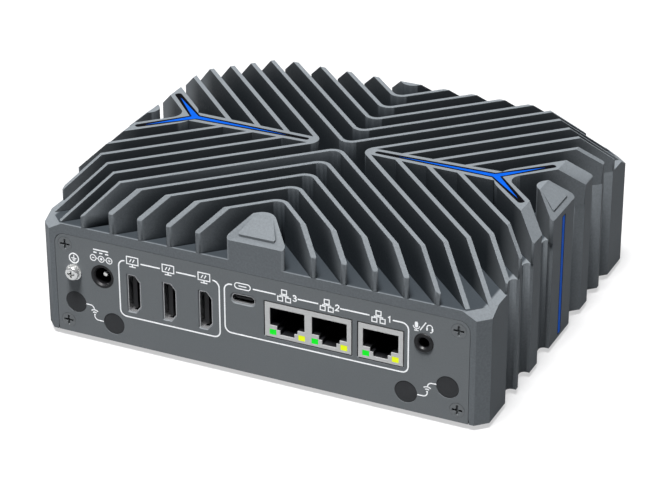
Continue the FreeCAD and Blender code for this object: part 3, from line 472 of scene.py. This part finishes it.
def network_icon(marks, x, number, digit_x):
    """Three linked squares and the port's number."""
    half_w, half_h, apart = 1.1, 1.0, 1.5
    top, low = ICON_Z + 1.35, ICON_Z - 1.35
    marks.box(x, top, half_w, half_h)
    for side in (-apart, apart):
        marks.box(x + side, low, half_w, half_h)
        marks.line([(x + side, low + half_h), (x + side, ICON_Z)], FINE)
    reach = apart + FINE / 2
    marks.line([(x - reach, ICON_Z), (x + reach, ICON_Z)], FINE)
    marks.line([(x, ICON_Z), (x, top - half_h)], FINE)
    digit(marks, number, digit_x, ICON_Z - 0.1)


def fan_icon(marks, x, z):
    """A dot with two arcs above it, for a radio aerial."""
    marks.disc(x, z - 1.0, 0.35)
    for radius in (1.1, 2.0):
        marks.line(arc(x, z - 1.1, radius, 50, 130, 10), FINE)


SCREENS = (-47.78, -33.7, -19.7)                                        # middles of the screen marks
NETWORKS = ((10.9, 3, 14.85), (26.85, 2, 30.75), (45.9, 1, 49.85))      # mark, number, the number's place
SMALL_SLOT_X = -4.9


def display_marks():
    frame_marks = Marks("print_display_frame")
    dashes = [(-44.5, -36.9), (-30.5, -22.9)]
    port_frame(frame_marks, (-53.3, -13.9), (13.35, FRAME_TOP), (-50.9, -16.4), dashes)
    frame_marks.build()
    icons = Marks("print_display_icons")
    for x in SCREENS:
        monitor_icon(icons, x)
    icons.build()


def network_marks():
    frame_marks = Marks("print_network_frame")
    dashes = [(-0.9, 7.74), (16.0, 23.7), (31.8, 42.6)]
    port_frame(frame_marks, (-11.9, 56.85), (16.4, FRAME_TOP), (-8.9, 51.1), dashes)
    frame_marks.build()
    icons = Marks("print_network_icons")
    for x, number, digit_x in NETWORKS:
        network_icon(icons, x, number, digit_x)
    half, radius = 1.9, 1.1
    slot = arc(SMALL_SLOT_X + half, ICON_Z, radius, -90, 90, 18)
    slot += arc(SMALL_SLOT_X - half, ICON_Z, radius, 90, 270, 18)
    icons.line(slot, FINE, closed=True)
    icons.line([(SMALL_SLOT_X - 1.5, ICON_Z), (SMALL_SLOT_X + 1.5, ICON_Z)], FINE)
    icons.build()


def power_marks():
    """Earth sign, the polarity of the power plug, and a solid line over a broken one for direct current."""
    power = Marks("print_power_marks")
    x, z = -71.35, 31.9
    power.ring(x, z, 1.85, MEDIUM)
    power.line([(x, z + 1.3), (x, z + 0.1)], FINE)
    for half, drop in ((1.05, -0.05), (0.65, -0.6), (0.3, -1.1)):
        power.line([(x - half, z + drop), (x + half, z + drop)], THIN)
    minus, middle, plus, z = -63.47, -60.25, -57.08, 33.85
    for x in (minus, middle, plus):
        power.ring(x, z, 1.15, 0.33)
    power.line([(minus - 0.53, z), (minus + 0.53, z)], THIN)
    power.disc(middle, z, 0.5)
    power.line([(plus - 0.55, z), (plus + 0.55, z)], THIN)
    power.line([(plus, z - 0.55), (plus, z + 0.55)], THIN)
    power.line([(minus + 1.15, z), (middle - 1.15, z)], THIN)
    power.line([(middle + 1.15, z), (plus - 1.15, z)], THIN)
    left, dash, step, z = -63.3, 1.3, 2.35, 37.2
    power.line([(left, z), (left + 6.0, z)], LINE)
    for k in range(3):
        start = left + k * step
        power.line([(start, z - 1.1), (start + dash, z - 1.1)], LINE)
    power.build()


def audio_marks():
    """Microphone, slanting line and headphones."""
    audio = Marks("print_audio_marks")
    x = 59.65
    audio.polygon(arc(x, 36.2, 0.6, 0, 180, 30) + arc(x, 35.2, 0.6, 180, 360, 30))
    audio.line(arc(x, 35.3, 1.15, 180, 360, 20), THIN)
    audio.line([(x, 34.15), (x, 33.5)], 0.33)
    audio.line([(x - 0.75, 33.5), (x + 0.75, 33.5)], 0.33)
    audio.line([(61.0, 33.9), (63.1, 37.2)], 0.4)
    x, half = 64.45, 0.98
    audio.line(arc(x, 35.5, 1.0, 0, 180, 20), 0.33)
    for side in (-half, half):
        audio.line([(x + side, 35.4), (x + side, 34.3)], 0.58)
    audio.line([(x + half, 34.3), (x + 0.8, 33.85), (x + 0.1, 33.75)], 0.26)
    audio.build()


def aerial_marks():
    """A curved line between the two aerial holes of each side, with a radio sign on it."""
    aerials = Marks("print_aerial_marks")
    bend = 1.6
    for side in (-1, 1):
        upper = [(67.2, 14.6)] + arc(65.6, 13.0, bend, 90, 180, 18)
        lower = arc(62.4, 10.65, bend, 0, -90, 18) + [(60.4, 9.05)]
        for path in (upper, lower):
            aerials.line([(side * x, z) for x, z in path], 0.4)
        fan_icon(aerials, side * 63.9, 12.0)
    aerials.build()


def rear_frame_marks():
    """Frame and numbers of the three pairs of USB sockets."""
    top, (left, right) = 36.3, (-36.4, 16.4)
    frame_marks = Marks("print_usb_frame", rear=True)
    port_frame(frame_marks, (-38.8, 18.8), (12.5, top), (left, right), [(-27.6, -12.4), (-7.6, 7.6)])
    for number, x in ((1, -30.0), (2, -10.0), (3, 10.0)):
        digit(frame_marks, number, x, top)
    frame_marks.line([(left, top), (-32.4, top)])
    frame_marks.line([(12.4, top), (right, top)])
    frame_marks.build()


def rear_icons():
    """Power sign over the button; drum and flash over the status lights."""
    icons = Marks("print_rear_icons", rear=True)
    x, z = -60.0, 35.2
    icons.line(arc(x, z, 1.6, 120, 420, 15), MEDIUM)
    icons.line([(x, z + 0.5), (x, z + 2.2)], MEDIUM)
    x, z, radius = -45.5, 26.8, 1.2
    icons.line(arc(x, z + 0.8, radius, 0, 345, 15), THIN, closed=True)
    for side in (-radius, radius):
        icons.line([(x + side, z + 0.8), (x + side, z - 0.9)], THIN)
    icons.line(arc(x, z - 0.9, radius, 180, 360, 20), THIN)
    x = -49.5
    icons.line([(x + 0.5, z + 1.6), (x - 0.7, z - 0.1), (x + 0.6, z + 0.1), (x - 0.5, z - 1.7)], 0.36)
    icons.build()


display_marks()
network_marks()
power_marks()
audio_marks()
aerial_marks()
rear_frame_marks()
rear_icons()


# ---------------------------------------------------------------- camera, as it stands in the photograph
AZIMUTH, ELEVATION, ROLL = 25.06, 27.05, -0.06
CAMERA_PLACE = Vector((0.34234, -0.73814, 0.43547))
FOCAL = 134.36              # mm, on a sensor SENSOR wide
SENSOR = 36.0
FARTHEST = 20.0


def make_camera():
    """Azimuth 0 looks at the front port plate from straight ahead; it grows towards +X."""
    azimuth, elevation, roll = (math.radians(a) for a in (AZIMUTH, ELEVATION, ROLL))
    back = Vector((math.sin(azimuth) * math.cos(elevation), -math.cos(azimuth) * math.cos(elevation),
                   math.sin(elevation)))
    right = Vector((0, 0, 1)).cross(back).normalized()
    up = back.cross(right)
    level, tilt = math.cos(roll), math.sin(roll)
    right, up = level * right + tilt * up, level * up - tilt * right
    data = bpy.data.cameras.new("camera")
    data.lens = FOCAL
    data.sensor_width = SENSOR
    data.clip_end = FARTHEST
    camera = bpy.data.objects.new("camera", data)
    camera.matrix_world = Matrix((
        (right.x, up.x, back.x, CAMERA_PLACE.x),
        (right.y, up.y, back.y, CAMERA_PLACE.y),
        (right.z, up.z, back.z, CAMERA_PLACE.z),
        (0, 0, 0, 1),
    ))
    bpy.context.scene.collection.objects.link(camera)
    bpy.context.scene.camera = camera


# ---------------------------------------------------------------- floor and light
FLOOR_HALF = 6.0
PAPER = (grey(0.14), grey(0.15))
PAPER_CLOUDS = 3.0
THROWN = (0.19, 0.195, 0.2)             # what the floor throws back on to the object
LIT_FROM_BELOW = (0.56, 0.56, 0.565)    # the paper's own light, which softens the contact shadow


def make_stage():
    mesh = bpy.data.meshes.new("floor")
    corners = [(a * FLOOR_HALF, b * FLOOR_HALF, 0) for a, b in ((-1, -1), (1, -1), (1, 1), (-1, 1))]
    mesh.from_pydata(corners, [], [(0, 1, 2, 3)])
    floor = bpy.data.objects.new("floor", mesh)
    bpy.context.scene.collection.objects.link(floor)
    material, tree, shader = new_material("floor_paper")
    vector = object_coordinates(tree)
    tint = ramp(tree, noise(tree, vector, PAPER_CLOUDS), *PAPER)
    path = tree.nodes.new("ShaderNodeLightPath")
    seen = path.outputs["Is Camera Ray"]
    tree.links.new(mix(tree, seen, THROWN, tint), shader.inputs["Base Color"])
    tree.links.new(mix(tree, seen, (0.0, 0.0, 0.0), LIT_FROM_BELOW), shader.inputs["Emission Color"])
    shader.inputs["Emission Strength"].default_value = 1.0
    shader.inputs["Roughness"].default_value = 0.9
    mesh.materials.append(material)


def sun(name, azimuth, elevation, strength, spread):
    """Soft light from far away; azimuth as for the camera, spread in degrees."""
    data = bpy.data.lights.new(name, "SUN")
    data.energy = strength
    data.angle = math.radians(spread)
    light = bpy.data.objects.new(name, data)
    turn, lift = math.radians(azimuth), math.radians(elevation)
    place = Vector((math.sin(turn) * math.cos(lift), -math.cos(turn) * math.cos(lift), math.sin(lift)))
    light.rotation_euler = place.to_track_quat("Z", "Y").to_euler()
    light.location = place
    bpy.context.scene.collection.objects.link(light)


AMBIENT = (0.06, 0.067, 0.078)      # what the room adds to the object
BACKDROP = (0.93, 0.94, 0.95)       # what stands behind it
# Azimuth, elevation, strength, spread.
KEY = (-2, 77, 11.3, 20)
BACK_FILL = (248, 38, 1.3, 40)


def make_lights():
    world = bpy.data.worlds.new("studio")
    bpy.context.scene.world = world
    world.use_nodes = True
    tree = world.node_tree
    path = tree.nodes.new("ShaderNodeLightPath")
    colour = mix(tree, path.outputs["Is Camera Ray"], AMBIENT, BACKDROP)
    tree.links.new(colour, tree.nodes["Background"].inputs["Color"])
    sun("key", *KEY)
    sun("back_fill", *BACK_FILL)


# ---------------------------------------------------------------- finish
make_camera()
make_stage()
make_lights()
bpy.context.scene.view_settings.view_transform = "Standard"
